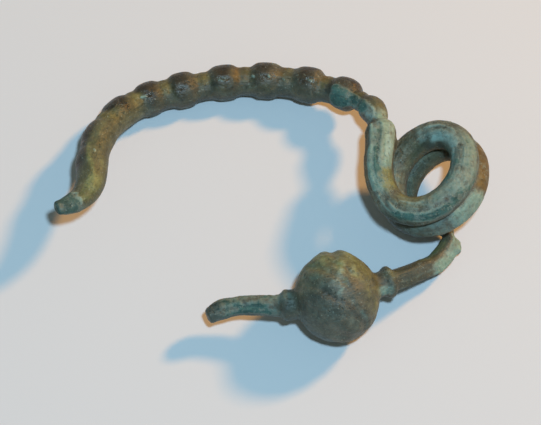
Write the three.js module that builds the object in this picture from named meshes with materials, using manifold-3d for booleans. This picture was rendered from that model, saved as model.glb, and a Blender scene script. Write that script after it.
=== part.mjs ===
// A bronze fibula brooch, broken at both ends: a bow of ten beads, a spring coil of two
// turns, a four-sided arm, and a ribbed globe on the stub of its stem. It is one
// continuous piece of metal, bent out of its plane. It lies on the underside of the bow,
// the lowest turn of the coil and the globe, each worn to a small flat.
//
// Millimetres, +Z up. The origin is on the surface that it lies on, under the middle of
// its outline. +X runs from the broken foot of the bow towards the coil.

import * as THREE from 'three';
import { mergeVertices } from 'three/addons/utils/BufferGeometryUtils.js';
import Module from 'manifold-3d';

const wasm = await Module();
wasm.setup();

// The foot: a hammered strip, from the break up to the first bead.
const footRoute = [
  [-31.6, -4.7, 11.6], [-29.9, -3.9, 10.9], [-28.1, -2.4, 10.2],
  [-27.0, -0.3, 9.4], [-26.6, 2.1, 8.7],
];
const footRadius = 1.08;
const footSwell = 2.4;
const footThickness = 0.62; // of its width, at the break

// The bow: the centre of each bead, its radius, and the radius of the waist after it.
// The beads are worn shallow towards the foot.
const beads = [
  { centre: [-26.6, 4.5, 7.8], radius: 2.5, waist: 2.2 },
  { centre: [-25.7, 9.3, 6.1], radius: 2.48, waist: 2.13 },
  { centre: [-22.5, 14.7, 3.9], radius: 2.48, waist: 2.1 },
  { centre: [-18.2, 17.6, 2.8], radius: 2.63, waist: 2.15 },
  { centre: [-13.4, 19.1, 2.66], radius: 2.76, waist: 2.05 },
  { centre: [-6.9, 20.4, 2.7], radius: 2.76, waist: 2.1 },
  { centre: [-0.8, 20.6, 2.95], radius: 2.8, waist: 2.2 },
  { centre: [5.9, 19.5, 3.6], radius: 2.8, waist: 1.9 },
  { centre: [11.3, 17.3, 5.1], radius: 2.55, waist: 1.5 },
  { centre: [15.4, 13.2, 7.6], radius: 2.05, waist: 1.38 },
];
const reelRing = 0.1; // how far the low ring in the middle of a waist stands up

// The shank: an eight-sided bar from the neck after the last bead to the coil.
const shankRoute = [
  [16.0, 10.8, 8.5], [16.4, 8.5, 9.6], [16.25, 5.2, 10.75], [16.0, 2.8, 11.0],
  [16.2, 0.5, 10.7],
];
const neckLength = 1.2;
const shankRadius = 2.38;
const shoulderLength = 1.2;

// The coil: an oval helix of round wire that runs down its axis and leans to +X.
const wireRadius = 2.15;
const coilTurns = 2;
const coilPitch = 4.42;
const coilCentre = new THREE.Vector3(22.2, 1.4, 12.8);
const coilLean = THREE.MathUtils.degToRad(22);
const ovalShort = 5.9;
const ovalLong = 6.8;
const ovalTurn = THREE.MathUtils.degToRad(32);

// Under the coil the wire runs along the surface and thins to a second neck.
const underRoute = [
  [20.9, -1.8, 2.05], [23.2, -3.0, 2.05], [25.3, -3.4, 2.05], [26.5, -4.2, 2.1],
];
const secondNeck = 1.05;

// The arm: a four-sided bar, one edge up, from a pointed shoulder to the globe.
const armRoute = [
  [26.8, -5.7, 2.1], [26.4, -7.0, 2.1], [25.5, -8.3, 2.2], [24.3, -9.8, 2.7],
  [22.8, -10.9, 3.6], [21.4, -12.0, 4.6], [19.6, -13.2, 5.6], [17.4, -14.3, 6.3],
];
const armRadius = 1.58;

// The globe, its two collars, and the stem down to the break.
const globeCentre = new THREE.Vector3(9.8, -16.85, 6.65);
const globeAcross = 6.75;
const globeAlong = 6.3;
const globeRibs = 10;
const ribHeight = 0.13;
const ribTwist = THREE.MathUtils.degToRad(80);
const collarRadius = 2.5;
const collarNeck = 1.9;
const collarWidth = 1.5;
const stemRoute = [
  [3.8, -17.8, 6.2], [0.7, -18.0, 6.0], [-2.0, -17.8, 5.7], [-4.8, -17.8, 5.4],
  [-7.5, -18.4, 5.15], [-9.3, -19.4, 5.0],
];
const stemRadius = 1.5;
const tipRadius = 1.15;

const sectionSides = 16;
const coilStep = 12; // degrees of turn between rings of the coil
const worldUp = new THREE.Vector3(0, 0, 1);

// Sections: how far the surface stands out at an angle from the top, as a share of the
// radius.
function round() {
  return 1;
}

function sided(count, sharpness) {
  const half = Math.PI / count;
  return (angle) => {
    const fromCorner = ((angle % (2 * half)) + 2 * half) % (2 * half);
    const flat = Math.cos(half) / Math.cos(fromCorner - half);
    return 1 + sharpness * (flat / (0.4 + 0.6 * Math.cos(half)) - 1);
  };
}

function flattened(thickness) {
  return (angle) => 1 / Math.hypot(Math.sin(angle), Math.cos(angle) / thickness);
}

const eightSided = sided(8, 0.9);
const fourSided = sided(4, 0.75);

// A point of the coil, after so many turns from its left side.
function coilPoint(turns) {
  const axis = new THREE.Vector3(Math.sin(coilLean), 0, -Math.cos(coilLean));
  const right = new THREE.Vector3(Math.cos(coilLean), 0, Math.sin(coilLean));
  const shortAxis = right.clone().applyAxisAngle(axis, ovalTurn);
  const longAxis = axis.clone().cross(shortAxis);
  const swing = Math.PI - turns * 2 * Math.PI - ovalTurn;
  return coilCentre.clone()
    .addScaledVector(shortAxis, ovalShort * Math.cos(swing))
    .addScaledVector(longAxis, ovalLong * Math.sin(swing))
    .addScaledVector(axis, coilPitch * turns);
}

// The centre line of the whole piece, with a named place along it for each part.
const places = {};
const linePoints = [];

function route(name, points) {
  places[name] = linePoints.length;
  for (const point of points) {
    linePoints.push(point.isVector3 ? point : new THREE.Vector3(...point));
  }
}

function coilRoute() {
  const points = [];
  const count = coilTurns * 16;
  for (let i = 1; i <= count; i += 1) {
    points.push(coilPoint((coilTurns * i) / count));
  }
  return points;
}

route('foot', footRoute);
route('bow', beads.map((bead) => bead.centre));
route('shank', shankRoute);
route('coil', coilRoute());
route('under', underRoute);
route('arm', armRoute);
route('globe', [globeCentre]);
route('stem', stemRoute);

const centreLine = new THREE.CatmullRomCurve3(linePoints);
const stepsPerGap = 60;
const lengths = centreLine.getLengths(stepsPerGap * (linePoints.length - 1));
centreLine.arcLengthDivisions = lengths.length - 1;
const wholeLength = lengths[lengths.length - 1];

function distanceTo(index) {
  return lengths[index * stepsPerGap];
}

// Rings of the swept surface, each at a distance along the centre line.
const rings = [];

function ring(distance, radius, section = round) {
  rings.push({ distance, radius, section });
}

function makeFoot() {
  const end = distanceTo(places.bow);
  const count = 7;
  for (let i = 0; i < count; i += 1) {
    const share = i / count;
    const swell = Math.sin((share * Math.PI) / 2);
    const thickness = THREE.MathUtils.lerp(footThickness, 1, Math.min(1, share * 1.6));
    ring(end * share, footRadius + (footSwell - footRadius) * swell, flattened(thickness));
  }
}

// One bead and the waist after it, up to the next bead.
function makeBead(index) {
  const { radius, waist } = beads[index];
  const next = beads[index + 1];
  const start = distanceTo(places.bow + index);
  const gap = distanceTo(places.bow + index + 1) - start;
  const swell = (share, size) => waist + (size - waist) * share;
  ring(start, radius);
  ring(start + gap * 0.17, swell(0.9, radius));
  ring(start + gap * 0.27, swell(0.55, radius));
  ring(start + gap * 0.36, waist);
  ring(start + gap * 0.5, waist + reelRing);
  ring(start + gap * 0.64, waist);
  ring(start + gap * 0.73, swell(0.55, next.radius));
  ring(start + gap * 0.83, swell(0.9, next.radius));
}

function makeLastBead() {
  const { radius, waist } = beads[beads.length - 1];
  const start = distanceTo(places.bow + beads.length - 1);
  const gap = distanceTo(places.shank) - start;
  ring(start, radius);
  ring(start + gap * 0.35, radius * 0.93);
  ring(start + gap * 0.7, (radius + waist) / 2);
  ring(start + gap, waist);
}

function makeShank() {
  const neckEnd = distanceTo(places.shank) + neckLength;
  const start = neckEnd + shoulderLength;
  const end = distanceTo(places.coil);
  ring(neckEnd, beads[beads.length - 1].waist);
  ring(neckEnd + shoulderLength * 0.2, shankRadius * 0.8, eightSided);
  ring(neckEnd + shoulderLength * 0.5, shankRadius * 0.94, eightSided);
  const count = 9;
  for (let i = 0; i < count; i += 1) {
    const share = i / count;
    const radius = THREE.MathUtils.lerp(shankRadius, wireRadius, Math.min(1, share * 2));
    ring(start + (end - start) * share, radius, eightSided);
  }
}

function makeCoil() {
  const start = distanceTo(places.coil);
  const length = distanceTo(places.under - 1) - start;
  const count = Math.round((coilTurns * 360) / coilStep);
  for (let i = 0; i <= count; i += 1) {
    ring(start + (length * i) / count, wireRadius, i < 5 ? eightSided : round);
  }
}

function makeUnderside() {
  const start = distanceTo(places.under - 1);
  const end = distanceTo(places.arm) - 0.9;
  const count = 9;
  for (let i = 1; i <= count; i += 1) {
    const share = i / count;
    const thinning = THREE.MathUtils.smoothstep(share, 0.25, 1);
    const radius = THREE.MathUtils.lerp(wireRadius, secondNeck, thinning);
    ring(start + (end - start) * share, radius);
  }
}

function makeArm() {
  const start = distanceTo(places.arm);
  const end = distanceTo(places.globe - 1) - collarWidth;
  ring(start - 0.4, armRadius * 0.8, fourSided);
  const count = 12;
  for (let i = 0; i <= count; i += 1) {
    const share = i / count;
    const radius = armRadius * THREE.MathUtils.lerp(0.94, 1, share);
    ring(start + (end - start) * share, radius, fourSided);
  }
}

// A raised ring between two narrower necks.
function makeCollar(middle, before, after) {
  ring(middle - collarWidth * 0.5, before);
  ring(middle - collarWidth * 0.25, collarRadius * 0.95);
  ring(middle, collarRadius);
  ring(middle + collarWidth * 0.25, collarRadius * 0.95);
  ring(middle + collarWidth * 0.5, after);
}

function makeStem() {
  const start = distanceTo(places.stem + 1);
  ring(start, stemRadius * 1.08);
  const count = 8;
  for (let i = 1; i <= count; i += 1) {
    const share = i / count;
    const taper = THREE.MathUtils.smoothstep(share, 0.75, 1);
    const lump = 0.06 * Math.sin(share * 9);
    const radius = THREE.MathUtils.lerp(stemRadius + lump, tipRadius, taper);
    ring(start + (wholeLength - start) * share, radius);
  }
}

// Bends a closed cylinder along the centre line, one row of its vertices to each ring.
function sweepRings() {
  const rows = rings.length - 1;
  const bar = new THREE.CylinderGeometry(1, 1, 1, sectionSides, rows);
  const position = bar.attributes.position;
  const point = new THREE.Vector3();
  const frames = rings.map(({ distance }) => {
    const along = Math.min(1, distance / wholeLength);
    const tangent = centreLine.getTangentAt(along);
    const side = worldUp.clone().cross(tangent).normalize();
    const up = tangent.clone().cross(side);
    return { centre: centreLine.getPointAt(along), side, up };
  });
  for (let i = 0; i < position.count; i += 1) {
    point.fromBufferAttribute(position, i);
    const row = Math.round((0.5 - point.y) * rows);
    const { radius, section } = rings[row];
    const { centre, side, up } = frames[row];
    const angle = Math.atan2(point.x, point.z);
    const reach = Math.hypot(point.x, point.z) * radius * section(angle);
    point.copy(centre)
      .addScaledVector(side, Math.sin(angle) * reach)
      .addScaledVector(up, Math.cos(angle) * reach);
    position.setXYZ(i, point.x, point.y, point.z);
  }
  return bar;
}

// The globe: a ball flattened along the wire, with low ribs that wind round it.
function makeGlobe() {
  const ball = new THREE.SphereGeometry(1, globeRibs * 4, 20);
  const position = ball.attributes.position;
  const point = new THREE.Vector3();
  for (let i = 0; i < position.count; i += 1) {
    point.fromBufferAttribute(position, i);
    const girth = Math.hypot(point.x, point.z);
    const turn = Math.atan2(point.x, point.z) + ribTwist * point.y * 0.5;
    const rib = ribHeight * girth * Math.cos(globeRibs * turn);
    const across = globeAcross + rib;
    position.setXYZ(i, point.x * across, point.y * globeAlong, point.z * across);
  }
  const tangent = centreLine.getTangent(places.globe / (linePoints.length - 1));
  const alongWire = new THREE.Quaternion();
  alongWire.setFromUnitVectors(new THREE.Vector3(0, 1, 0), tangent);
  ball.applyQuaternion(alongWire);
  ball.translate(globeCentre.x, globeCentre.y, globeCentre.z);
  return ball;
}

function toSolid(geometry) {
  geometry.deleteAttribute('normal');
  geometry.deleteAttribute('uv');
  const closed = mergeVertices(geometry, 1e-4);
  return new wasm.Manifold(new wasm.Mesh({
    numProp: 3,
    vertProperties: new Float32Array(closed.attributes.position.array),
    triVerts: new Uint32Array(closed.index.array),
  }));
}

function toGeometry(solid) {
  const { vertProperties, triVerts } = solid.getMesh();
  const geometry = new THREE.BufferGeometry();
  geometry.setAttribute('position', new THREE.BufferAttribute(vertProperties, 3));
  geometry.setIndex(new THREE.BufferAttribute(triVerts, 1));
  geometry.computeVertexNormals();
  return geometry;
}

makeFoot();
for (let i = 0; i < beads.length - 1; i += 1) {
  makeBead(i);
}
makeLastBead();
makeShank();
makeCoil();
makeUnderside();
makeArm();
makeCollar(distanceTo(places.globe - 1), armRadius * 1.1, collarNeck);
makeCollar(distanceTo(places.stem) + 1.5, collarNeck * 1.2, stemRadius * 1.12);
makeStem();

// Everything below the surface is worn away, which leaves the three flats.
const surface = new THREE.BoxGeometry(200, 200, 20);
surface.translate(0, 0, -10);
const brooch = toGeometry(
  toSolid(sweepRings()).add(toSolid(makeGlobe())).subtract(toSolid(surface)),
);
brooch.computeBoundingBox();
const middle = brooch.boundingBox.getCenter(new THREE.Vector3());
brooch.translate(-middle.x, -middle.y, 0);

const bronze = new THREE.MeshStandardMaterial({
  color: 0x5f6b4f,
  metalness: 0.45,
  roughness: 0.62,
});
const group = new THREE.Group();
const mesh = new THREE.Mesh(brooch, bronze);
mesh.name = 'brooch';
group.add(mesh);

export default group;
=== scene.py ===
# A worn bronze fibula brooch, lying on a pale surface: a bow of ten beads, a faceted
# shank, a spring coil of two turns, a four-sided arm, and a ribbed globe on the stub of
# its stem. Sizes in the dictionaries are in millimetres unless they say otherwise.

import math
from functools import partial

import bpy
import numpy as np
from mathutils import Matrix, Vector
from mathutils.kdtree import KDTree


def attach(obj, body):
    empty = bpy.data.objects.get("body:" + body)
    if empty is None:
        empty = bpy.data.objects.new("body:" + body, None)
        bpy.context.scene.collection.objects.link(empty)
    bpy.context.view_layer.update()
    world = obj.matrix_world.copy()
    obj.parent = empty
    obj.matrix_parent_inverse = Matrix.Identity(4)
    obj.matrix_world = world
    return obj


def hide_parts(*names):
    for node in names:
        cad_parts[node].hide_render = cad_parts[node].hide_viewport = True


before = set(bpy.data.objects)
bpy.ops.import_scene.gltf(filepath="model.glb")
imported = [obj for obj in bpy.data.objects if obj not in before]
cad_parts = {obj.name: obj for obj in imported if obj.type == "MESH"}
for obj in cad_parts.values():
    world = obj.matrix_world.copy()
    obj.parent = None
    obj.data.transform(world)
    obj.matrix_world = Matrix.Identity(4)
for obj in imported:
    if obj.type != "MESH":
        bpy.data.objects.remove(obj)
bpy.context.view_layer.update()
mm = 0.001
print("stage: frame loaded")


# Node helpers. An input may be a value, a node (its first output) or a socket.
def addNode(tree, kind, inputs=None, **settings):
    made = tree.nodes.new(kind)
    for name, value in settings.items():
        setattr(made, name, value)
    for place, value in (inputs or {}).items():
        if value is not None:
            connect(tree, value, made.inputs[place])
    return made


def connect(tree, value, socket):
    if isinstance(value, bpy.types.Node):
        value = value.outputs[0]
    if isinstance(value, bpy.types.NodeSocket):
        tree.links.new(value, socket)
    else:
        socket.default_value = value


# The sums of one tree: a Math node of any kind, and the three kinds used most.
def mathNodes(tree):
    def calc(operation, a, b=None, c=None):
        return addNode(tree, "ShaderNodeMath", {0: a, 1: b, 2: c}, operation=operation)

    return calc, partial(calc, "ADD"), partial(calc, "SUBTRACT"), partial(calc, "MULTIPLY")


def calcVector(tree, operation, a, b):
    return addNode(tree, "ShaderNodeVectorMath", {0: a, 1: b}, operation=operation)


def scaled(tree, vector, share):
    return addNode(tree, "ShaderNodeVectorMath", {0: vector, "Scale": share},
                   operation="SCALE")


def placed(tree, geometry, position):
    return addNode(tree, "GeometryNodeSetPosition", {"Geometry": geometry, "Position": position})


# Rises without a corner from least to most, over a band of the value.
def stretch(tree, value, band, least=0.0, most=1.0):
    return addNode(tree, "ShaderNodeMapRange", {
        "Value": value, "From Min": band[0], "From Max": band[1], "To Min": least,
        "To Max": most}, interpolation_type="SMOOTHSTEP").outputs["Result"]


socketKinds = {int: "Int", float: "Float", Vector: "Vector", bpy.types.Material: "Material"}


# A tree with one named input for each value that it will be given.
def newGeometryTree(name, values):
    tree = bpy.data.node_groups.new(name, "GeometryNodeTree")
    face = tree.interface
    face.new_socket("Geometry", in_out="INPUT", socket_type="NodeSocketGeometry")
    for label, value in values.items():
        kind = socketKinds[type(value)]
        face.new_socket(label, in_out="INPUT", socket_type="NodeSocket" + kind)
    face.new_socket("Geometry", in_out="OUTPUT", socket_type="NodeSocketGeometry")
    return tree, tree.nodes.new("NodeGroupInput").outputs


def endTree(tree, given, geometry):
    whole = addNode(tree, "GeometryNodeRealizeInstances", {"Geometry": geometry})
    dressed = addNode(tree, "GeometryNodeSetMaterial",
                      {"Geometry": whole, "Material": given["Material"]})
    end = tree.nodes.new("NodeGroupOutput")
    tree.links.new(dressed.outputs[0], end.inputs[0])


def socketName(tree, label):
    for item in tree.interface.items_tree:
        if item.item_type == "SOCKET" and item.in_out == "INPUT" and item.name == label:
            return item.identifier
    raise KeyError(label)


def newObject(name, data):
    made = bpy.data.objects.new(name, data)
    bpy.context.scene.collection.objects.link(made)
    return made


# Evaluates an object with its modifiers and gives a plain mesh; the object goes.
def plainMesh(obj):
    bpy.context.view_layer.update()
    depsgraph = bpy.context.evaluated_depsgraph_get()
    evaluated = obj.evaluated_get(depsgraph)
    mesh = bpy.data.meshes.new_from_object(evaluated, depsgraph=depsgraph)
    bpy.data.objects.remove(obj)
    return mesh


# Makes a tree and runs it on a mesh, with its named inputs set by their identifiers.
def madeByTree(mesh, makeTree, values):
    tree = makeTree(values)
    guide = newObject("guide", mesh)
    modifier = guide.modifiers.new("make", "NODES")
    modifier.node_group = tree
    for label, value in values.items():
        modifier[socketName(tree, label)] = value
    return plainMesh(guide)


def setAttribute(mesh, name, values, kind="FLOAT"):
    attribute = mesh.attributes.new(name, kind, "POINT")
    field = "vector" if kind == "FLOAT_VECTOR" else "value"
    attribute.data.foreach_set(field, np.ascontiguousarray(values, np.float32).ravel())


# Rises from 0 at low to 1 at high without a corner.
def smoothStep(value, low, high):
    share = np.clip((value - low) / (high - low), 0, 1)
    return share * share * (3 - 2 * share)


# 1 between two ends, each given as the two values that it changes between.
def softBand(value, rise, fall):
    return smoothStep(value, *rise) * (1 - smoothStep(value, *fall))


# The centre line of the whole piece runs through the middle of every part.
foot = {
    "route": [(-31.6, -4.7, 11.6), (-29.9, -3.9, 10.9), (-28.1, -2.4, 10.2),
              (-27.0, -0.3, 9.4), (-26.6, 2.1, 8.7)],
    "radius": 1.08,       # half the width at the break
    "swell": 2.4,         # half the width where the bow begins
    "thickness": 0.62,    # of the width, at the break
    "flatShare": 0.625,   # of the foot's length that isn't round yet
}
bow = {                   # centre of each bead, its radius, radius of the waist after it
    "beads": [((-26.6, 4.5, 7.8), 2.50, 2.20), ((-25.7, 9.3, 6.1), 2.48, 2.13),
              ((-22.5, 14.7, 3.9), 2.48, 2.10), ((-18.2, 17.6, 2.8), 2.63, 2.15),
              ((-13.4, 19.1, 2.66), 2.76, 2.05), ((-6.9, 20.4, 2.7), 2.76, 2.10),
              ((-0.8, 20.6, 2.95), 2.80, 2.20), ((5.9, 19.5, 3.6), 2.80, 1.90),
              ((11.3, 17.3, 5.1), 2.55, 1.50), ((15.4, 13.2, 7.6), 2.05, 1.38)],
    "beadSide": [(0.17, 0.9), (0.27, 0.52), (0.34, 0)],    # shares: of the gap, of the step
    "reelRing": 0.1,      # height of the low ring in the middle of a waist
    "reelGroove": 0.03,   # depth of the groove on each side of it
    "groovePlace": 0.41,  # share of the gap
}
shank = {
    "route": [(16.0, 10.8, 8.5), (16.4, 8.5, 9.6), (16.25, 5.2, 10.75), (16.0, 2.8, 11.0),
              (16.2, 0.5, 10.7)],
    "neckLength": 1.2,
    "radius": 2.38,
    "shoulderLength": 1.2,
    "shoulder": [(0.2, 0.8), (0.5, 0.94)],    # share of its length, share of the radius
}
coil = {
    "wireRadius": 2.15,
    "turns": 2,
    "pitch": 4.42,
    "centre": (22.2, 1.4, 12.8),
    "lean": 22,           # degrees that the axis leans over, towards +X at the top
    "ovalShort": 5.9,
    "ovalLong": 6.8,
    "ovalTurn": 32,       # degrees
    "pointsPerTurn": 16,
    "underRoute": [(20.9, -1.8, 2.05), (23.2, -3.0, 2.05), (25.3, -3.4, 2.05),
                   (26.5, -4.2, 2.1)],
    "secondNeck": 1.05,
    "neckEnd": 0.9,       # before the arm
}
arm = {
    "route": [(26.8, -5.7, 2.1), (26.4, -7.0, 2.1), (25.5, -8.3, 2.2), (24.3, -9.8, 2.7),
              (22.8, -10.9, 3.6), (21.4, -12.0, 4.6), (19.6, -13.2, 5.6),
              (17.4, -14.3, 6.3)],
    "radius": 1.58,
    "slimmer": 0.06,      # at the shoulder, as a share of the radius
}
globe = {
    "centre": (9.8, -16.85, 6.65),
    "across": 6.75,
    "along": 6.3,
    "ribs": 10,
    "ribHeight": 0.13,
    "ribTwist": 80,       # degrees from pole to pole
    "ribStart": 0,
    "segments": 128,
    "collarRadius": 2.5,
    "collarNeck": 1.9,
    "collarWidth": 1.5,
}
stem = {
    "route": [(3.8, -17.8, 6.2), (0.7, -18.0, 6.0), (-2.0, -17.8, 5.7), (-4.8, -17.8, 5.4),
              (-7.5, -18.4, 5.15), (-9.3, -19.4, 5.0)],
    "radius": 1.5,
    "tipRadius": 1.15,
    "unevenness": 0.06,
    "taperFrom": 0.75,    # share of its length
}


# A point of the coil, after so many turns from its left side.
def coilPoint(turns):
    lean = math.radians(coil["lean"])
    oval = math.radians(coil["ovalTurn"])
    axis = Vector((math.sin(lean), 0, -math.cos(lean)))
    right = Vector((math.cos(lean), 0, math.sin(lean)))
    across = axis.cross(right)
    shortAxis = right * math.cos(oval) + across * math.sin(oval)
    longAxis = axis.cross(shortAxis)
    swing = math.pi - turns * 2 * math.pi - oval
    return (Vector(coil["centre"]) + shortAxis * (coil["ovalShort"] * math.cos(swing))
            + longAxis * (coil["ovalLong"] * math.sin(swing))
            + axis * (coil["pitch"] * turns))


coilPoints = coil["turns"] * coil["pointsPerTurn"]
routes = {
    "foot": foot["route"],
    "bow": [centre for centre, radius, waist in bow["beads"]],
    "shank": shank["route"],
    "coil": [coilPoint(coil["turns"] * i / coilPoints) for i in range(1, coilPoints + 1)],
    "under": coil["underRoute"],
    "arm": arm["route"],
    "globe": [globe["centre"]],
    "stem": stem["route"],
}
firstPoint = {}
routePoints = []
for name, points in routes.items():
    firstPoint[name] = len(routePoints)
    routePoints += [np.array(point, float) for point in points]


# A centripetal Catmull-Rom curve through the points, in short steps.
def smoothLine(points, steps):
    first = 2 * points[0] - points[1]
    last = 2 * points[-1] - points[-2]
    padded = [first] + points + [last]
    weight = np.linspace(0, 1, steps, endpoint=False)[:, None]
    line = []
    for a, b, c, d in zip(padded, padded[1:], padded[2:], padded[3:]):
        before, between, after = (np.linalg.norm(q - p) ** 0.5
                                  for p, q in ((a, b), (b, c), (c, d)))
        leave = ((b - a) / before - (c - a) / (before + between)) * between + (c - b)
        arrive = (c - b) - ((d - b) / (between + after) - (d - c) / after) * between
        line.append(b + leave * weight + (3 * (c - b) - 2 * leave - arrive) * weight ** 2
                    + (2 * (b - c) + leave + arrive) * weight ** 3)
    return np.vstack(line + [points[-1][None]])


lineSteps = 60
line = smoothLine(routePoints, lineSteps)
lineLengths = np.concatenate([[0], np.cumsum(np.linalg.norm(np.diff(line, axis=0), axis=1))])
wholeLength = lineLengths[-1]


def distanceTo(index):
    return lineLengths[index * lineSteps]


origin = np.array((0.236, -0.108, 0.0))    # of the brooch, in the frame of the routes
startOf = {name: distanceTo(index) for name, index in firstPoint.items()}
underStart = distanceTo(firstPoint["under"] - 1)
beforeGlobe = distanceTo(firstPoint["globe"] - 1)
afterGlobe = startOf["stem"] + 1.5
beadMiddles = [distanceTo(firstPoint["bow"] + index) for index in range(len(bow["beads"]))]
waistMiddles = [(a + b) / 2 for a, b in zip(beadMiddles, beadMiddles[1:])]
print("stage: centre line of", round(wholeLength, 1), "mm")


def alongLine(distances, values):
    return np.stack([np.interp(distances, lineLengths, column) for column in values.T], 1)


# Centre, side, up and tangent of the wire at each distance.
def framesAt(distances):
    centre = alongLine(distances, line) - origin
    tangent = alongLine(distances + 0.05, line) - alongLine(distances - 0.05, line)
    tangent /= np.linalg.norm(tangent, axis=1)[:, None]
    side = np.cross((0.0, 0.0, 1.0), tangent)
    side /= np.linalg.norm(side, axis=1)[:, None]
    return centre, side, np.cross(tangent, side), tangent


# A station gives the wire's radius and section at one distance along it.
stations = []


def station(distance, radius, eight=0.0, four=0.0, thickness=1.0):
    stations.append((distance, radius, eight, four, thickness))


def makeFoot():
    for share in np.linspace(0, 1, 7, endpoint=False):
        swell = math.sin(share * math.pi / 2)
        radius = foot["radius"] + (foot["swell"] - foot["radius"]) * swell
        roundness = min(1, share / foot["flatShare"])
        flat = foot["thickness"] + (1 - foot["thickness"]) * roundness
        station(startOf["bow"] * share, radius, thickness=flat)


# A bead, and the waist after it with a fine ring between two grooves.
def makeBead(index):
    centre, radius, waist = bow["beads"][index]
    nextStep = bow["beads"][index + 1][1] - waist
    start = beadMiddles[index]
    gap = beadMiddles[index + 1] - start
    station(start, radius)
    for share, rise in bow["beadSide"]:
        station(start + gap * share, waist + (radius - waist) * rise)
    station(start + gap * bow["groovePlace"], waist - bow["reelGroove"])
    station(start + gap * 0.5, waist + bow["reelRing"])
    station(start + gap * (1 - bow["groovePlace"]), waist - bow["reelGroove"])
    for share, rise in reversed(bow["beadSide"]):
        station(start + gap * (1 - share), waist + nextStep * rise)


def makeLastBead():
    centre, radius, waist = bow["beads"][-1]
    start = beadMiddles[-1]
    gap = startOf["shank"] - start
    station(start, radius)
    station(start + gap * 0.35, radius * 0.93)
    station(start + gap * 0.7, (radius + waist) / 2)
    station(start + gap, waist)


def makeShank():
    neckEnd = startOf["shank"] + shank["neckLength"]
    start = neckEnd + shank["shoulderLength"]
    station(neckEnd, bow["beads"][-1][2])
    for share, out in shank["shoulder"]:
        station(neckEnd + shank["shoulderLength"] * share, shank["radius"] * out, eight=1)
    for share in np.linspace(0, 1, 9, endpoint=False):
        blend = min(1, share * 2)
        radius = shank["radius"] + (coil["wireRadius"] - shank["radius"]) * blend
        station(start + (startOf["coil"] - start) * share, radius, eight=1)


def makeCoil():
    for share in np.linspace(0, 1, 41):
        distance = startOf["coil"] + (underStart - startOf["coil"]) * share
        flats = max(0, 1 - share * 12)    # those of the shank, which die out here
        station(distance, coil["wireRadius"], eight=flats)


def makeUnderside():
    end = startOf["arm"] - coil["neckEnd"]
    for share in np.linspace(0, 1, 10)[1:]:
        thin = smoothStep(share, 0.25, 1)
        radius = coil["wireRadius"] + (coil["secondNeck"] - coil["wireRadius"]) * thin
        station(underStart + (end - underStart) * share, radius)


def makeArm():
    start = startOf["arm"]
    end = beforeGlobe - globe["collarWidth"]
    station(start - 0.4, arm["radius"] * 0.8, four=1)
    for share in np.linspace(0, 1, 13):
        radius = arm["radius"] * (1 - arm["slimmer"] * (1 - share))
        station(start + (end - start) * share, radius, four=1)


# A raised ring between two narrower necks.
def makeCollar(middle, before, after):
    quarter = globe["collarWidth"] / 4
    station(middle - 2 * quarter, before)
    station(middle - quarter, globe["collarRadius"] * 0.95)
    station(middle, globe["collarRadius"])
    station(middle + quarter, globe["collarRadius"] * 0.95)
    station(middle + 2 * quarter, after)


def makeStem():
    start = distanceTo(firstPoint["stem"] + 1)
    station(start, stem["radius"] * 1.08)
    for share in np.linspace(0, 1, 9)[1:]:
        radius = stem["radius"] + stem["unevenness"] * math.sin(share * 9)
        radius += (stem["tipRadius"] - radius) * smoothStep(share, stem["taperFrom"], 1)
        station(start + (wholeLength - start) * share, radius)


makeFoot()
for beadIndex in range(len(bow["beads"]) - 1):
    makeBead(beadIndex)
makeLastBead()
makeShank()
makeCoil()
makeUnderside()
makeArm()
makeCollar(beforeGlobe, arm["radius"] * 1.1, globe["collarNeck"])
makeCollar(afterGlobe, globe["collarNeck"] * 1.2, stem["radius"] * 1.12)
makeStem()


# Values between the stations, on a curve that doesn't overshoot them.
def betweenStations(distances, column):
    known = np.array([row[0] for row in stations])
    values = np.array([row[column] for row in stations], float)
    gaps = np.diff(known)
    slopes = np.diff(values) / gaps
    slant = np.zeros(len(values))
    rising = slopes[1:] * slopes[:-1] > 0
    product = 2 * slopes[1:] * slopes[:-1]
    total = slopes[1:] + slopes[:-1]
    slant[1:-1][rising] = product[rising] / total[rising]
    place = np.clip(np.searchsorted(known, distances, "right") - 1, 0, len(gaps) - 1)
    width = gaps[place]
    t = np.clip((distances - known[place]) / width, 0, 1)
    rise = values[place + 1] - values[place]
    return (values[place] + slant[place] * width * (t - 2 * t ** 2 + t ** 3)
            + rise * (3 * t ** 2 - 2 * t ** 3) + slant[place + 1] * width * (t ** 3 - t ** 2))


wire = {
    "ringStep": 0.2,
    "sides": 64,
    "flatSink": 0.6,      # how far a flat lies in, against how far a corner stands out
    "eightSharpness": 0.9,
    "fourSharpness": 0.68,
}


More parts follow.
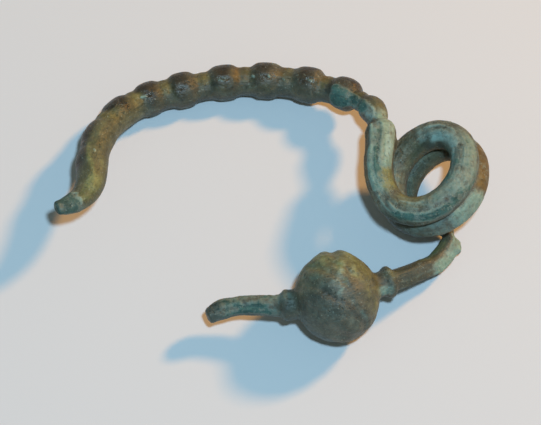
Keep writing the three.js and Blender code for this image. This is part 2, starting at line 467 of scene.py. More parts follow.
# The wire is a cylinder bent along the centre line, one row of it to each ring.
def makeWireTree(values):
    tree, given = newGeometryTree("bentWire", values)
    calc, plus, minus, times = mathNodes(tree)
    rows = minus(given["Rings"], 1.0)
    bar = addNode(tree, "GeometryNodeMeshCylinder", {
        "Vertices": given["Sides"], "Radius": 1.0, "Depth": 1.0, "Side Segments": rows},
        fill_type="TRIANGLE_FAN")
    position = tree.nodes.new("GeometryNodeInputPosition")
    across, along, height = addNode(tree, "ShaderNodeSeparateXYZ", {0: position}).outputs
    row = calc("ROUND", times(plus(0.5, height), rows))
    angle = calc("ARCTAN2", across, along)
    girth = calc("SQRT", plus(times(across, across), times(along, along)))

    def fromGuide(name, kind="FLOAT"):
        value = addNode(tree, "GeometryNodeInputNamedAttribute", {"Name": name}, data_type=kind)
        return addNode(tree, "GeometryNodeSampleIndex", {
            "Geometry": given["Geometry"], "Value": value, "Index": row}, data_type=kind)

    # How far a section with so many flats stands out, as a share of the radius.
    def sided(count, sharpness):
        half = math.pi / count
        middle = 1 - wire["flatSink"] * (1 - math.cos(half))
        corner = calc("FLOORED_MODULO", angle, 2 * half)
        spread = calc("COSINE", minus(corner, half))
        flat = calc("DIVIDE", math.cos(half) / middle, spread)
        return times(minus(flat, 1.0), given[sharpness])

    eight = times(sided(8, "Eight Sharpness"), fromGuide("eight"))
    four = times(sided(4, "Four Sharpness"), fromGuide("four"))
    section = plus(1.0, plus(eight, four))
    sine = calc("SINE", angle)
    cosine = calc("COSINE", angle)
    upright = calc("DIVIDE", cosine, fromGuide("thickness"))
    squeeze = calc("SQRT", plus(calc("POWER", sine, 2.0), calc("POWER", upright, 2.0)))
    radius = times(fromGuide("radius"), girth)
    reach = calc("DIVIDE", times(radius, section), squeeze)
    sideways = scaled(tree, fromGuide("side", "FLOAT_VECTOR"), times(sine, reach))
    upwards = scaled(tree, fromGuide("up", "FLOAT_VECTOR"), times(cosine, reach))
    centre = fromGuide("centre", "FLOAT_VECTOR")
    spot = calcVector(tree, "ADD", calcVector(tree, "ADD", centre, sideways), upwards)
    endTree(tree, given, placed(tree, bar, spot))
    return tree


def makeWire(material):
    ringCount = int(round(wholeLength / wire["ringStep"]))
    distances = np.linspace(0, wholeLength, ringCount)
    centre, side, up, tangent = framesAt(distances)
    guide = bpy.data.meshes.new("wireGuide")
    guide.from_pydata(centre * mm, [], [])
    for name, values in (("centre", centre * mm), ("side", side), ("up", up)):
        setAttribute(guide, name, values, "FLOAT_VECTOR")
    for column, name in enumerate(("radius", "eight", "four", "thickness"), 1):
        scale = mm if name == "radius" else 1
        setAttribute(guide, name, betweenStations(distances, column) * scale)
    return madeByTree(guide, makeWireTree, {
        "Sides": wire["sides"], "Rings": ringCount,
        "Eight Sharpness": wire["eightSharpness"], "Four Sharpness": wire["fourSharpness"],
        "Material": material})


# The globe is a ball flattened along the wire, with low ribs that wind round it.
def makeGlobeTree(values):
    tree, given = newGeometryTree("ribbedGlobe", values)
    calc, plus, minus, times = mathNodes(tree)
    rings = calc("DIVIDE", given["Segments"], 2.0)
    ball = addNode(tree, "GeometryNodeMeshUVSphere", {
        "Segments": given["Segments"], "Rings": rings, "Radius": 1.0})
    position = tree.nodes.new("GeometryNodeInputPosition")
    x, y, z = addNode(tree, "ShaderNodeSeparateXYZ", {0: position}).outputs
    girth = calc("SQRT", minus(1.0, times(z, z)))
    twist = calc("MULTIPLY_ADD", z, given["Rib Twist"], given["Rib Start"])
    turn = plus(calc("ARCTAN2", x, y), twist)
    wave = calc("COSINE", times(turn, given["Ribs"]))
    rib = times(times(wave, girth), given["Rib Height"])
    across = plus(given["Across"], rib)
    sideways = scaled(tree, given["Side"], times(x, across))
    upwards = scaled(tree, given["Up"], times(y, across))
    onwards = scaled(tree, given["Tangent"], times(z, given["Along"]))
    spot = calcVector(tree, "ADD", calcVector(tree, "ADD", sideways, upwards),
                      calcVector(tree, "ADD", onwards, given["Centre"]))
    endTree(tree, given, placed(tree, ball, spot))
    return tree


def makeGlobe(material):
    centre, side, up, tangent = framesAt(np.array([startOf["globe"]]))
    return madeByTree(bpy.data.meshes.new("globeGuide"), makeGlobeTree, {
        "Segments": globe["segments"], "Across": globe["across"] * mm,
        "Along": globe["along"] * mm, "Ribs": globe["ribs"],
        "Rib Height": globe["ribHeight"] * mm, "Rib Start": math.radians(globe["ribStart"]),
        "Rib Twist": math.radians(globe["ribTwist"] / 2), "Centre": Vector(centre[0]) * mm,
        "Side": Vector(side[0]), "Up": Vector(up[0]), "Tangent": Vector(tangent[0]),
        "Material": material})


skin = {
    "faceSize": 0.22,
    "lineStep": 0.1,      # between the places of the centre line that vertices are tied to
}


# Wire and globe become one closed surface of even small faces.
def makeSkin(material):
    parts = [newObject("skin", mesh) for mesh in (makeWire(material), makeGlobe(material))]
    whole = parts[0]
    with bpy.context.temp_override(active_object=whole, selected_editable_objects=parts):
        bpy.ops.object.join()
    remesh = whole.modifiers.new("evenFaces", "REMESH")
    remesh.mode = "VOXEL"
    remesh.voxel_size = skin["faceSize"] * mm
    return plainMesh(whole)


# Where each vertex lies on the wire: distance along, angle round from the top, and the
# distance from the centre line.
def tieToLine(mesh):
    distances = np.arange(0, wholeLength, skin["lineStep"])
    centre, side, up, tangent = framesAt(distances)
    tree = KDTree(len(distances))
    for index, point in enumerate(centre):
        tree.insert(point, index)
    tree.balance()
    places = np.zeros(len(mesh.vertices) * 3, np.float32)
    mesh.vertices.foreach_get("co", places)
    places = places.reshape(-1, 3).astype(float) / mm
    nearest = np.array([tree.find(place)[1] for place in places])
    offset = places - centre[nearest]
    along = distances[nearest] + (offset * tangent[nearest]).sum(1)
    across = (offset * side[nearest]).sum(1)
    above = (offset * up[nearest]).sum(1)
    return along, np.degrees(np.arctan2(across, above)), np.hypot(across, above)


# Marks are grooves (below 0) and ridges: depth, half width, and the places that
# each runs through, as distance along the wire and degrees round it from the top.
marks = {
    "shank groove": (-0.14, 0.32, [(72.2, -5), (76, -5), (79.5, -3)]),
    "shank crust edge": (0.09, 0.3, [(74, -37), (78, -39), (81, -37), (84, -42), (88, -56)]),
    "shank streak": (-0.06, 0.3, [(72.5, 24), (77, 22)]),
    "foot ridge": (0.13, 0.5, [(3.5, -24), (6, -28), (7.3, -21), (9, 1), (11.5, 14)]),
    "foot hollow": (-0.12, 0.9, [(4.5, 12), (8, 30), (11, 48)]),
    "globe groove 1": (-0.24, 0.7, [(197.4, -16), (195.6, 2), (193.8, 20), (192.1, 39),
                                   (191.2, 60)]),
    "globe groove 2": (-0.2, 0.6, [(198, 20), (196.2, 40), (194.4, 62), (193.2, 88)]),
    "globe groove 3": (-0.19, 0.5, [(196, -40), (194.2, -20), (192.6, -2), (191.2, 16)]),
    "globe groove 4": (-0.18, 0.5, [(194.4, -48), (192.8, -30), (191.2, -14), (189.8, 0)]),
    "globe ring": (-0.12, 0.28, [(194.2, 16), (193.4, 24), (193.6, 34), (194.6, 36),
                                 (195.2, 26), (194.4, 17)]),
    "globe curl": (-0.13, 0.35, [(191.6, 30), (190.8, 46), (190.3, 66), (190.4, 88)]),
    "globe curl ridge": (0.1, 0.4, [(191.2, 36), (190, 52), (189.5, 70), (189.6, 90)]),
    "globe notch": (-0.36, 0.8, [(191.9, -75), (191.8, -50), (191.9, -38)]),
    "globe bump 1": (0.2, 1.5, [(193.6, -70), (193.4, -48)]),
    "globe bump 2": (0.2, 1.2, [(190.4, -65), (190.5, -45)]),
    "globe lump 1": (0.14, 0.5, [(191.4, -14), (191.9, -9)]),
    "globe lump 2": (0.12, 0.45, [(190.2, -9), (190, -5)]),
    "globe lump 3": (0.14, 0.5, [(191.2, 4), (191.1, 8)]),
    "globe lump 4": (0.12, 0.4, [(189.8, 3), (189.7, 6)]),
    "stem groove": (-0.2, 0.4, [(203, 34), (206, 30), (209.5, 36)]),
    "stem ridge": (0.1, 0.5, [(203.5, 5), (207, 2), (210, 8)]),
    "arm notch": (-0.4, 0.7, [(169.9, 50), (170, 115)]),
    "arm corner": (0.34, 0.5, [(171.6, 76), (171.6, 100)]),
    "scar ring 1": (0.08, 0.22, [(39.2, -12), (40, 0), (41.6, 0), (42.2, -12), (41.4, -24),
                                 (40, -24), (39.2, -12)]),
    "scar ring 2": (0.07, 0.22, [(53.4, -8), (54.2, 2), (55.2, 2), (55.7, -8), (55, -18),
                                 (54, -18), (53.4, -8)]),
}
scars = {                 # worn hollows on the beads: distance along, degrees, half length
    "places": [(28.4, -10, 0.8), (34.0, -18, 0.8), (40.6, -13, 1.2), (46.4, -14, 1.3),
               (54.4, -8, 1.0), (48.4, -8, 0.5), (13.9, -22, 0.6)],
    "depth": 0.13,
    "halfWidth": 0.42,
    "bend": 0.5,          # how far they curve
    "steepness": 1.2,
    "glossWidth": 0.6,
    "glossLength": 0.6,   # of the hollow's length
}
blurredBow = [            # on its inner side the waists between the beads are worn shallow
    {"from": 9.0, "to": 26.5, "radius": 2.42, "share": 0.72, "angle": -16, "soft": 24},
    {"from": 22.0, "to": 62.0, "radius": 2.42, "share": 0.45, "angle": -40, "soft": 30},
]


def turnFrom(angle, middle):
    return (angle - middle + 180) % 360 - 180


# Distance in mm over the surface from a line through places on the wire.
def distanceFromPath(path, along, angle, girth):
    nearest = np.full(len(along), 1e3)
    arc = np.radians(1) * girth
    for (startAlong, startAngle), (endAlong, endAngle) in zip(path, path[1:]):
        x = along - startAlong
        y = turnFrom(angle, startAngle) * arc
        stepX = endAlong - startAlong
        stepY = (endAngle - startAngle) * arc
        share = np.clip((x * stepX + y * stepY) / (stepX ** 2 + stepY ** 2), 0, 1)
        nearest = np.minimum(nearest, np.hypot(x - share * stepX, y - share * stepY))
    return nearest


def carvedHeight(along, angle, girth):
    height = np.zeros(len(along))
    for depth, halfWidth, path in marks.values():
        away = distanceFromPath(path, along, angle, girth)
        height += depth * np.exp(-(away / halfWidth) ** 2)
    for place, turn, halfLength in scars["places"]:
        x = (along - place) / halfLength
        y = turnFrom(angle, turn) * np.radians(1) * girth / scars["halfWidth"]
        y = y + scars["bend"] * x * x
        height -= scars["depth"] * np.exp(-(x * x + y * y) * scars["steepness"])
    for blur in blurredBow:
        fade = (blur["angle"] - blur["soft"], blur["angle"] + blur["soft"])
        inside = softBand(angle, (-178, -120), fade)    # not round the underside
        inside *= softBand(along, (blur["from"], blur["from"] + 2),
                           (blur["to"] - 5, blur["to"]))
        lack = blur["radius"] - betweenStations(along, 1)
        height += blur["share"] * inside * np.clip(lack, 0, 1)
    return height


# Where each coat of patina lies; one moss dab is a painted highlight instead. A later coat
# covers an earlier one. A dab is: from and to (mm along the wire), middle and half width
# (degrees round it), strength.
patina = {
    "dark": [
        (9, 30, 66, 40, 0.8), (28, 70, 180, 112, 0.55), (22, 26, 46, 50, 0.8),
        (168.5, 170.6, 0, 100, 0.5), (199, 202.5, 30, 120, 0.5), (-1, 3.6, 0, 180, 0.4),
        (30, 62, 10, 90, 0.4), (57, 66, 30, 60, 0.95), (36, 47, 10, 60, 0.3),
    ] + [(middle - 1.6, middle + 1.4, 18, 72, 0.85) for middle in beadMiddles[2:8]],
    "murk": [
        (104.5, 122, -6, 70, 0.7), (122, 131.5, -90, 50, 0.25), (144, 162, 0, 90, 0.5),
        (82, 122, -100, 36, 0.8), (84, 95, -96, 16, 0.8), (176.8, 185, 20, 80, 0.9),
        (193.5, 201, 66, 110, 0.3), (187, 194, 112, 60, 0.4), (209, 214, 0, 180, 0.5),
        (199, 202.5, 30, 120, 0.7), (116, 162, 90, 60, 0.15), (96, 110, -78, 30, 0.6),
        (72, 86, -90, 30, 0.6),
    ],
    "olive": [
        (3.6, 27, -48, 75, 0.95), (3.6, 13, 20, 40, 0.6), (14, 22, 10, 40, 0.5),
        (187.5, 197, -62, 62, 0.75), (196, 199, -40, 60, 0.5), (84, 91, 18, 40, 0.75),
        (91, 95, 30, 30, 0.5), (110, 116, 60, 40, 0.5), (170.5, 179, -46, 44, 0.8),
        (28, 58, 10, 95, 0.4), (58, 66, 40, 60, 0.35), (66, 70, 40, 60, 0.8),
        (179, 186, -20, 60, 0.25), (110, 122, 20, 60, 0.35), (148, 162, 0, 90, 0.5),
        (202, 210, -50, 60, 0.3),
    ],
    "ochre": [
        (187, 189, 34, 66, 0.5), (186.2, 187.6, 0, 90, 0.5), (3.8, 8.5, -22, 34, 0.8),
        (189, 191.2, -8, 24, 0.4), (88, 90.5, 36, 22, 0.6), (65.2, 69.6, 62, 40, 0.6),
        (9, 14, 0, 30, 0.35), (85, 87.5, 30, 26, 0.5),
    ] + [(middle - 1.1, middle + 1.1, 24, 58, 0.75) for middle in waistMiddles[1:5]]
      + [(middle - 0.9, middle + 0.9, 20, 50, 0.55) for middle in waistMiddles[5:]],
    "moss": [
        (78, 83.2, 24, 38, 1), (187.8, 190.6, -46, 34, 0.6), (182.4, 185.4, -8, 32, 0.45),
        (192, 196.5, -55, 40, 0.5), (190.6, 192.2, -30, 14, 0.5), (171, 179, -50, 30, 0.5),
        (84, 87, 40, 20, 0.5), (6, 12, -50, 22, 0.4), (3.6, 8, -20, 34, 0.85),
        # (9, 24, 0, 14, 0.35) is a painted highlight: a lighter band along the top of the foot
        # and first beads.
        (187, 190, 30, 60, 0.35), (9, 24, 0, 14, 0.35),
    ],
    "brown": [
        (137, 143.5, -62, 46, 1), (189.8, 191.2, 14, 12, 0.4), (42.3, 43.6, 10, 44, 0.6),
        (49.2, 50.4, 25, 40, 0.6), (161, 163, 0, 90, 0.6), (112, 118, -40, 22, 0.4),
        (71.5, 84, -84, 30, 0.8), (56, 57.2, 30, 36, 0.6),
    ],
    "pale": [
        (68.6, 71.6, 35, 50, 0.8), (71.6, 78.4, 30, 38, 1), (72, 83, -28, 18, 0.85),
        (94.5, 103.6, -16, 34, 0.6), (132, 137.2, -62, 44, 0.95),
        (169.6, 176.8, 54, 40, 0.9), (185, 187, 60, 30, 0.6),
        (82, 88, -32, 12, 0.2), (88, 96, -10, 18, 0.3), (104, 112, -34, 24, 0.3),
        (67.4, 70, 34, 34, 0.4), (71.8, 77.5, 34, 24, 1), (191.8, 193.4, 16, 16, 0.3),
        (190, 193, 60, 20, 0.2), (188.5, 197, -50, 60, 0.15), (47.6, 49.4, 55, 22, 0.45),
        (91, 97, 20, 16, 0.5), (204, 211, 20, 24, 0.35), (96, 100, -60, 24, 0.4),
        (200, 209, -40, 30, 0.3),
    ],
    "frost": [
        (101.8, 108.2, 34, 26, 1), (67, 69.6, -36, 34, 0.5), (71.8, 77.5, 46, 22, 0.6),
        (189, 198, -45, 60, 0.2), (99, 102, 62, 16, 0.5), (108, 111, 10, 30, 0.4),
        (71.5, 75, -22, 12, 0.4), (60.4, 63, -30, 18, 0.3),
    ],
    "teal": [
        (72, 162, 0, 180, 0.2), (203, 214, 0, 180, 0.12), (90, 104, 10, 90, 0.28),
        (80, 91, -30, 60, 0.15), (127, 137, -80, 50, 0.2), (168, 178, 50, 60, 0.15),
        (-1, 3.4, 0, 180, 0.85), (58.6, 64.2, -46, 40, 0.95), (64.6, 67, -40, 32, 0.8),
        (85.5, 95.5, -52, 15, 1), (95, 101, 38, 16, 0.5), (95, 98, -66, 16, 0.5),
        (199, 202.5, 0, 120, 0.35), (202, 211, 0, 75, 0.5), (73, 80, -6, 16, 0.75),
        (177.5, 184.6, 20, 40, 0.35), (202, 209, 50, 22, 0.6), (116, 122, 10, 40, 0.25),
        (209, 214, 0, 180, 0.3),
    ],
    "shade": [
        (209.4, 214, 0, 180, 0.6), (199.2, 201.5, 60, 60, 0.6), (58.6, 63.5, 62, 42, 0.8),
        (-1, 3.4, 0, 180, 0.4), (43.2, 44.8, 10, 40, 0.55), (31.2, 32.6, 10, 40, 0.3),
        (176.8, 184.4, 12, 40, 0.55), (21.5, 24.5, 40, 24, 0.6),
    ] + [(middle - 2.5, middle + 1.3, 56, 36, 0.85) for middle in beadMiddles[:4]]
      + [(middle - 1.5, middle + 1, 14, 46, 0.7) for middle in beadMiddles[2:8]]
      + [(middle - 1.6, middle + 1, 60, 30, 0.55) for middle in beadMiddles[4:]],
}
strokes = {               # thin lines: strength, half width, places along and round
    "pale": [
        (0.9, 0.3, [(71.5, -36), (74.5, -33), (76.5, -40), (78.2, -46), (81.5, -45)]),
        (0.65, 0.22, [(83, -40), (85, -51), (87, -60), (89, -70), (91, -68), (93.5, -56)]),
        (0.8, 0.25, [(84.5, -26), (86, -34), (88, -38), (90.5, -34), (92.5, -36)]),
        (0.7, 0.25, [(72.5, 22), (75, 24), (78, 22)]),
        (0.7, 0.2, [(73, 36), (76, 38)]),
        (0.6, 0.22, [(96, -50), (99, -46), (102, -40)]),
        (0.7, 0.25, [(86, 4), (87, 14), (88.5, 10), (90, 16)]),
        (0.8, 0.25, [(3.4, -50), (3.6, -20), (3.2, 0), (3.8, 20), (3.4, 50)]),
        (0.25, 0.5, [(191.6, -12), (191.9, -9)]), (0.25, 0.5, [(190.2, -9), (190, -5)]),
        (0.35, 0.3, [(60, -28), (61.5, -20), (63, -26), (64, -40)]),
        (0.6, 0.3, [(66, -16), (67.5, -12), (69, -18)]),
        # The short pale dashes on the beads' worn hollows and the one on the globe are painted
        # highlights: glints drawn in the pale coat.
        (0.9, 0.2, [(27.4, -6), (28.1, -11)]), (0.8, 0.2, [(40, -15), (41, -19)]),
        (0.6, 0.18, [(40.2, -8), (41.2, -10)]), (0.8, 0.2, [(45.3, -8), (45.5, -12)]),
        (0.9, 0.2, [(47.8, -9), (48, -13)]), (0.6, 0.18, [(50, -12), (50.2, -17)]),
        (0.7, 0.2, [(54.1, -9), (54.9, -11)]), (0.8, 0.2, [(12.2, -10), (12.6, -7)]),
        (0.6, 0.2, [(192.9, 18), (192.2, 15)]),
        (0.2, 0.35, [(190.6, 49), (189.8, 70), (190, 84)]),
        (0.2, 0.35, [(191.6, 31), (190.4, 38)]),
    ],
    "moss": [
        # The first moss stroke is a painted highlight along the foot's ridge.
        (0.7, 0.35, [(3.5, -30), (6, -32), (7.6, -24), (9, -4), (11.5, 12), (14, 22)]),
        (0.6, 0.5, [(193.6, -46), (193.9, -31)]), (0.7, 0.5, [(191.5, -25), (191.8, -9)]),
        (0.7, 0.4, [(189.9, -11), (190, -1)]), (0.5, 0.4, [(191.7, 4), (191.6, 11)]),
    ],
    "frost": [
        (0.6, 0.25, [(109, -14), (106.5, -10), (104.5, -4), (103.4, 14), (102, 30)]),
        (0.7, 0.25, [(101.5, 50), (100, 58), (98.5, 54)]),
        (0.7, 0.22, [(62, -72), (64, -66), (66, -60)]),
    ],
    "teal": [
        (0.8, 0.4, [(203, 34), (206, 30), (209.5, 36)]),
        (0.6, 0.35, [(73, -10), (76, -14), (79, -12)]),
    ],
    "shade": [
        (0.5, 0.3, [(71.8, -4), (75, -6), (78, -4)]),
        (0.4, 0.6, [(196.8, -14), (195, 4), (193.4, 22), (191.9, 40), (191.2, 58)]),
        (0.3, 0.4, [(192.2, 30), (191.2, 46), (190.7, 66)]),
        (0.35, 0.4, [(192.8, -30), (193, -7)]), (0.4, 0.4, [(190.6, -20), (191, 4)]),
        (0.35, 0.4, [(195, -43), (195.8, -24)]), (0.35, 0.35, [(188.6, -24), (188.8, -5)]),
        (0.35, 0.3, [(194.2, 16), (193.4, 24), (193.6, 34), (194.6, 36), (195.2, 26),
                     (194.6, 17)]),
        (0.4, 0.3, [(203.5, 26), (206, 24), (209, 28)]),
    ],
}
crusty = ("pale", "frost", "teal")    # the coats that stand up from the skin
dabSoftness = {           # mm along the wire, and degrees round it
    "dark": (1.5, 22), "murk": (1.8, 24), "olive": (1.8, 24), "ochre": (1.0, 20),
    "moss": (1.4, 22), "brown": (0.8, 15), "pale": (1.1, 15), "frost": (1.1, 15),
    "teal": (1.0, 13), "shade": (1.1, 18),
}


def paintedMask(name, along, angle, girth):
    bare = np.ones(len(along))
    soft, turn = dabSoftness[name]
    for start, end, middle, half, strength in patina[name]:
        cover = softBand(along, (start - soft, start + soft), (end - soft, end + soft))
        if half < 180:
            cover *= 1 - smoothStep(np.abs(turnFrom(angle, middle)), half - turn, half + turn)
        bare *= 1 - strength * cover
    for strength, halfWidth, path in strokes.get(name, []):
        away = distanceFromPath(path, along, angle, girth)
        bare *= 1 - strength * np.exp(-(away / halfWidth) ** 2)
    return 1 - bare


# Weathering raises swells, lumps, pits, streaks and crusts out of the skin by noise.
weather = {               # in millimetres, but for the two whole numbers
    "Swell Height": 0.1,  # hammered unevenness
    "Swell Size": 2.6,
    "Lump Height": 0.13,  # the globe's surface between its ribs
    "Lump Size": 1.5,
    "Pit Depth": 0.055,
    "Pit Size": 0.75,
    "Pit Patch Size": 3.75,
    "Streak Depth": 0.05,
    "Streak Width": 0.5,
    "Crust Height": 0.09,
    "Crust Size": 0.8,
    "Soften Rounds": 8,
    "Seed": 7,
}
noiseBand = {             # the part of each noise over which it rises from 0 to 1
    "lump": (0.3, 0.7),
    "pit": (0.6, 0.74),
    "pitPatch": (0.38, 0.6),
    "streak": (0.56, 0.72),
    "crust": (0.4, 0.75),
}
relief = {                # places along the wire, and how much shows elsewhere
    "streaksFrom": (70, 73),
    "streaksTo": (184, 186),
    "otherStreaks": 0.3,
    "lumpsFrom": (186.5, 188),
    "lumpsTo": (198, 200),
    "stemLumps": 0.4,
    "otherLumps": 0.3,
    "streakStretch": (0.12, 1.0, 1.0),
    "crustRaggedness": 1.8,
}
softened = [              # from, to (mm along the wire), how far its edges are worn round
    (9, 68, 0.22), (184.6, 188, 0.9), (198, 203.2, 0.9), (202, 213, 0.3), (70, 85, 0.25),
]
leastSoftened = 0.1


def makeWeatherTree(values):
    tree, given = newGeometryTree("weatheredSkin", values)
    calc, plus, minus, times = mathNodes(tree)
    position = tree.nodes.new("GeometryNodeInputPosition")

    def named(name, kind="FLOAT"):
        return addNode(tree, "GeometryNodeInputNamedAttribute", {"Name": name}, data_type=kind)

    def noise(label, detail, place=position):
        scale = calc("DIVIDE", 1.0, given[label])
        return addNode(tree, "ShaderNodeTexNoise", {
            "Vector": place, "W": given["Seed"], "Scale": scale, "Detail": detail,
            "Roughness": 0.55}, noise_dimensions="4D").outputs["Fac"]

    def showing(name, label, detail, place=position):
        return stretch(tree, noise(label, detail, place), noiseBand[name])

    swell = minus(noise("Swell Size", 3.0), 0.5)
    height = times(swell, times(given["Swell Height"], 2.0))
    lump = times(minus(showing("lump", "Lump Size", 2.0), 0.5), named("lumpy"))
    height = calc("MULTIPLY_ADD", lump, given["Lump Height"], height)
    pits = times(showing("pit", "Pit Size", 2.0), showing("pitPatch", "Pit Patch Size", 1.0))
    height = minus(height, times(pits, given["Pit Depth"]))
    drawn = calcVector(tree, "MULTIPLY", named("wirePlace", "FLOAT_VECTOR"),
                       relief["streakStretch"])
    streak = times(showing("streak", "Streak Width", 2.0, drawn), named("streaked"))
    height = minus(height, times(streak, given["Streak Depth"]))
    broken = minus(noise("Crust Size", 4.0), 0.5)
    crusts = 0.0
    for name in crusty:
        crusts = calc("MAXIMUM", crusts, named(name))
    crust = calc("MULTIPLY_ADD", broken, relief["crustRaggedness"], crusts)
    crust = stretch(tree, crust, noiseBand["crust"])
    height = plus(height, times(crust, given["Crust Height"]))
    height = plus(height, times(named("carved"), mm))
    eased = addNode(tree, "GeometryNodeBlurAttribute", {
        "Iterations": given["Soften Rounds"], "Weight": named("softened")},
        data_type="FLOAT_VECTOR")
    connect(tree, position, next(s for s in eased.inputs if s.name == "Value" and s.enabled))
    blurred = next(s for s in eased.outputs if s.enabled)
    soft = placed(tree, given["Geometry"], blurred)
    lift = scaled(tree, tree.nodes.new("GeometryNodeInputNormal"), height)
    raised = addNode(tree, "GeometryNodeSetPosition", {"Geometry": soft, "Offset": lift})
    level = calcVector(tree, "MAXIMUM", position, (-1.0, -1.0, 0.0))    # not below the floor
    worn = placed(tree, raised, level)
    smooth = addNode(tree, "GeometryNodeSetShadeSmooth", {"Geometry": worn})
    endTree(tree, given, smooth)
    return tree


# The finish is a dark bronze skin under broken coats of patina, with painted highlights
# in it: glints in the pale coat, a light line along the foot's ridge in the moss coat and
# a light line along each crust's edge. Each has two tones, its roughness, how ragged it
# is, the band of its mask where it begins, and its most cover.
def newCoat(light, deep, rough, ragged=0.9, edge=(0.1, 0.9), most=0.9):
    return {"light": light, "deep": deep, "rough": rough, "ragged": ragged, "edge": edge,
            "most": most}


finish = {
    "skin": newCoat((116, 116, 100), (62, 70, 61), 0.5),
    "dark": newCoat((82, 73, 61), (46, 44, 39), 0.4, 0.6, most=0.88),
    "murk": newCoat((88, 94, 76), (54, 60, 49), 0.5, 0.4, (0.1, 1.0)),
    "olive": newCoat((121, 121, 87), (73, 75, 52), 0.46, 0.7, (0.1, 0.85)),
    "ochre": newCoat((144, 138, 84), (86, 82, 49), 0.53),
    # The moss coat also paints a highlight along the foot's ridge and the top of the first
    # beads.
    "moss": newCoat((156, 164, 108), (100, 104, 66), 0.56),
    "brown": newCoat((138, 112, 56), (80, 64, 34), 0.6, 0.9, (0.15, 0.85)),
    # The pale coat also paints the glints on the beads and the globe, as painted highlights.
    "pale": newCoat((179, 212, 193), (108, 142, 123), 0.7, 1.2, (0.12, 1.0)),
    "frost": newCoat((183, 218, 208), (117, 151, 144), 0.7, 1.2, (0.12, 1.0)),
    "teal": newCoat((86, 131, 119), (38, 71, 65), 0.73, 1.4, (0.15, 0.9)),
    "shade": newCoat((66, 55, 43), (36, 33, 28), 0.36, 0.8, (0.1, 1.0), 0.85),
}
smallMarks = {            # colour, strength
    # The crust edge line is a pale crust edge with a painted highlight along it.
    "crustEdgeHighlight": ((166, 182, 168), 1.3),    # the thin light line where a crust breaks off
    "pit": ((40, 44, 40), 0.2),
    "fleck": ((172, 184, 166), 0.4),
    "line": ((166, 182, 168), 0.5),
}
grain = {                 # size, detail and roughness of a noise, and the band that shows
    "tint": (5.5, 3.0, 0.6, (0.35, 0.65)),
    "mottle": (1.4, 6.0, 0.6, (0.34, 0.66)),
    "speck": (0.26, 3.0, 0.6, (0.3, 0.7)),
    "streak": (0.4, 3.0, 0.6, (0.35, 0.65)),
    "chip": (1.3, 7.0, 0.62, (0.3, 0.7)),
    "drawnChip": (0.91, 6.0, 0.62, (0.3, 0.7)),
    "pit": (0.5, 3.0, 0.6, (0.58, 0.7)),
    "fleck": (0.4, 2.0, 0.5, (0.66, 0.72)),
    "line": (1.8, 4.0, 0.6, (0.004, 0.016)),
    "linePatch": (3.2, 2.0, 0.6, (0.45, 0.6)),
    "bump": (0.36, 6.0, 0.6, (0, 1)),
}
grainStretch = (0.14, 1.0, 1.0)    # streaks run along the wire
bumpHeight = 0.1


def sceneColour(colour):
    levels = [value / 255 for value in colour]
    return [level / 12.92 if level < 0.04 else ((level + 0.055) / 1.055) ** 2.4
            for level in levels] + [1]


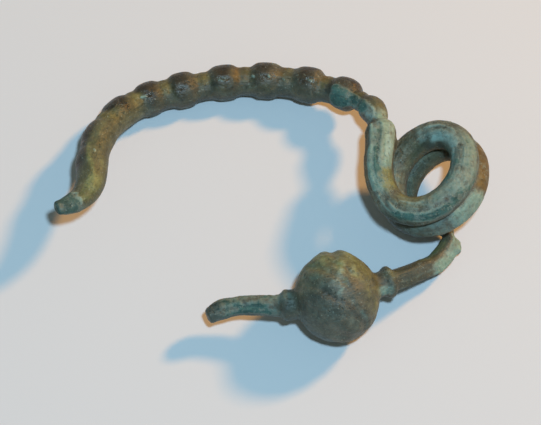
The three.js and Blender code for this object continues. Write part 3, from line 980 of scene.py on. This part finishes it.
def makeFinish():
    material = bpy.data.materials.new("patinatedBronze")
    material.use_nodes = True
    tree = material.node_tree
    calc, plus, minus, times = mathNodes(tree)
    shader = tree.nodes["Principled BSDF"]
    place = tree.nodes.new("ShaderNodeTexCoord").outputs["Object"]
    wirePlace = addNode(tree, "ShaderNodeAttribute", attribute_name="wirePlace")
    stretched = addNode(tree, "ShaderNodeMapping", {
        "Vector": wirePlace.outputs["Vector"], "Scale": grainStretch})

    def painted(name):
        return addNode(tree, "ShaderNodeAttribute", attribute_name=name).outputs["Fac"]

    def noise(name, vector=place):
        size, detail, roughness, band = grain[name]
        return addNode(tree, "ShaderNodeTexNoise", {
            "Vector": vector, "Scale": 1 / (size * mm), "Detail": detail,
            "Roughness": roughness}).outputs["Fac"]

    def showing(name, vector=place, least=0.0, most=1.0):
        return stretch(tree, noise(name, vector), grain[name][3], least, most)

    def mixed(share, a, b):
        made = addNode(tree, "ShaderNodeMix", data_type="RGBA")
        for name, value in (("Factor_Float", share), ("A_Color", a), ("B_Color", b)):
            socket = next(s for s in made.inputs if s.identifier == name)
            connect(tree, value, socket)
        return next(s for s in made.outputs if s.identifier == "Result_Color")

    def marked(colour, name, cover):
        paint, strength = smallMarks[name]
        return mixed(times(cover, strength), colour, sceneColour(paint))

    speck = showing("speck")
    streak = showing("streak", stretched)
    chipped = times(showing("chip", place, -0.5, 0.5), 0.75)
    drawn = showing("drawnChip", stretched, -0.5, 0.5)
    ragged = calc("MULTIPLY_ADD", drawn, 0.4, chipped)
    tone = 0.0
    shares = ((showing("tint"), 0.22), (showing("mottle"), 0.4), (speck, 0.2), (streak, 0.18))
    for part, share in shares:
        tone = calc("MULTIPLY_ADD", part, share, tone)
    bare = finish["skin"]
    colour = mixed(tone, sceneColour(bare["deep"]), sceneColour(bare["light"]))
    rough = calc("MULTIPLY_ADD", speck, 0.12, bare["rough"] - 0.06)
    crust = 0.0
    for name in patina:
        coat = finish[name]
        uneven = calc("MULTIPLY_ADD", ragged, coat["ragged"], 1.0)
        mask = times(painted(name), uneven)
        cover = stretch(tree, mask, coat["edge"], 0.0, coat["most"])
        paint = mixed(tone, sceneColour(coat["deep"]), sceneColour(coat["light"]))
        colour = mixed(cover, colour, paint)
        change = times(cover, minus(coat["rough"], rough))
        rough = plus(rough, change)
        if name in crusty:
            # A thin light line along the crust's edge: a pale crust edge and a painted
            # highlight.
            crustEdgeHighlight = times(cover, minus(coat["most"], cover))
            colour = marked(colour, "crustEdgeHighlight", crustEdgeHighlight)
            crust = calc("MAXIMUM", crust, cover)
    pits = showing("pit")
    colour = marked(colour, "pit", pits)
    colour = marked(colour, "fleck", showing("fleck"))
    winding = calc("ABSOLUTE", minus(noise("line"), 0.5))
    lines = stretch(tree, winding, grain["line"][3], 1.0, 0.0)
    lines = times(times(lines, showing("linePatch")), painted("streaked"))
    colour = marked(colour, "line", lines)
    rough = minus(rough, times(painted("gloss"), 0.2))
    height = noise("bump")
    for part, share in ((crust, 0.6), (pits, -0.8), (streak, 0.35), (lines, 0.4)):
        height = calc("MULTIPLY_ADD", part, share, height)
    bump = addNode(tree, "ShaderNodeBump", {
        "Strength": 1.0, "Distance": bumpHeight * mm, "Height": height})
    connect(tree, colour, shader.inputs["Base Color"])
    connect(tree, rough, shader.inputs["Roughness"])
    connect(tree, bump, shader.inputs["Normal"])
    shader.inputs["Metallic"].default_value = 0.1
    shader.inputs["Specular IOR Level"].default_value = 0.5
    return material


# Everything that is painted on the skin, as attributes of its points.
def paintSkin(mesh):
    along, angle, girth = tieToLine(mesh)
    turn = np.radians(angle)
    wirePlace = np.stack([along, girth * np.sin(turn), girth * np.cos(turn)], 1) * mm
    setAttribute(mesh, "wirePlace", wirePlace, "FLOAT_VECTOR")
    setAttribute(mesh, "carved", carvedHeight(along, angle, girth))
    streaks = relief["otherStreaks"]
    onWire = softBand(along, relief["streaksFrom"], relief["streaksTo"])
    setAttribute(mesh, "streaked", streaks + (1 - streaks) * onWire)
    onGlobe = smoothStep(along, *relief["lumpsFrom"])
    onGlobe *= 1 - (1 - relief["stemLumps"]) * smoothStep(along, *relief["lumpsTo"])
    setAttribute(mesh, "lumpy", np.maximum(onGlobe, relief["otherLumps"]))
    worn = np.full(len(along), leastSoftened)
    for start, end, most in softened:
        there = softBand(along, (start - 0.5, start + 0.5), (end - 0.5, end + 0.5))
        worn = np.maximum(worn, most * there)
    setAttribute(mesh, "softened", worn)
    for name in patina:
        setAttribute(mesh, name, paintedMask(name, along, angle, girth))
    rubbed = []
    for place, turn, halfLength in scars["places"]:
        reach = halfLength * scars["glossLength"]
        path = [(place - reach, turn), (place + reach, turn)]
        rubbed.append(distanceFromPath(path, along, angle, girth))
    setAttribute(mesh, "gloss", np.exp(-(np.min(rubbed, 0) / scars["glossWidth"]) ** 2))


def makeBrooch():
    material = makeFinish()
    mesh = makeSkin(material)
    paintSkin(mesh)
    print("stage: skin of", len(mesh.vertices), "vertices, painted")
    sizes = {label: value * mm if isinstance(value, float) else value
             for label, value in weather.items()}
    mesh = madeByTree(mesh, makeWeatherTree, {**sizes, "Material": material})
    brooch = newObject("broochSkin", mesh)
    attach(brooch, "root")
    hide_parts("brooch")
    return brooch


brooch = makeBrooch()
print("stage: brooch weathered,", len(brooch.data.polygons), "faces")

view = {
    "elevation": 65,      # degrees
    "distance": 800,
    "frameWidth": 81.15,
    "aim": (-0.236, 0.108, 0.0),
    "sensorWidth": 36,
}
lamps = {
    "key": {"towards": (1.05, 0.72, 1.0), "distance": 780, "size": 110, "power": 4.24,
            "colour": (1.0, 0.49, 0.13)},
    "fill": {"towards": (0.1, -0.31, 1.0), "distance": 850, "size": 60, "power": 4.7,
             "colour": (0.475, 0.765, 1.0)},
}
room = {"colour": (0.80, 1.0, 0.96), "strength": 0.131}
board = {"width": 3000, "colour": (0.8, 0.8, 0.8), "rough": 0.85}


def pointAt(obj, target):
    obj.rotation_euler = (Vector(target) - obj.location).to_track_quat("-Z", "Y").to_euler()


def makeCamera():
    camera = newObject("camera", bpy.data.cameras.new("camera"))
    elevation = math.radians(view["elevation"])
    aim = Vector(view["aim"]) * mm
    away = Vector((0, -math.cos(elevation), math.sin(elevation)))
    camera.location = aim + away * (view["distance"] * mm)
    camera.data.sensor_width = view["sensorWidth"]
    camera.data.lens = view["sensorWidth"] * view["distance"] / view["frameWidth"]
    camera.data.clip_start = 0.01
    pointAt(camera, aim)
    bpy.context.scene.camera = camera


def makeLamps():
    for name, lamp in lamps.items():
        data = bpy.data.lights.new(name, "AREA")
        data.shape = "DISK"
        data.size = lamp["size"] * mm
        data.energy = lamp["power"]
        data.color = lamp["colour"]
        made = newObject(name, data)
        made.location = Vector(lamp["towards"]).normalized() * (lamp["distance"] * mm)
        pointAt(made, (0, 0, 0))
    world = bpy.data.worlds.new("studio")
    world.use_nodes = True
    background = world.node_tree.nodes["Background"]
    background.inputs["Color"].default_value = (*room["colour"], 1)
    background.inputs["Strength"].default_value = room["strength"]
    bpy.context.scene.world = world


def makeFloor():
    mesh = bpy.data.meshes.new("floor")
    half = board["width"] * mm / 2
    mesh.from_pydata([(-half, -half, 0), (half, -half, 0), (half, half, 0),
                      (-half, half, 0)], [], [(0, 1, 2, 3)])
    paint = bpy.data.materials.new("paleBoard")
    paint.use_nodes = True
    shader = paint.node_tree.nodes["Principled BSDF"]
    shader.inputs["Base Color"].default_value = (*board["colour"], 1)
    shader.inputs["Roughness"].default_value = board["rough"]
    mesh.materials.append(paint)
    newObject("floor", mesh)


makeCamera()
makeLamps()
makeFloor()
bpy.context.scene.view_settings.view_transform = "Standard"
print("stage: set lit")
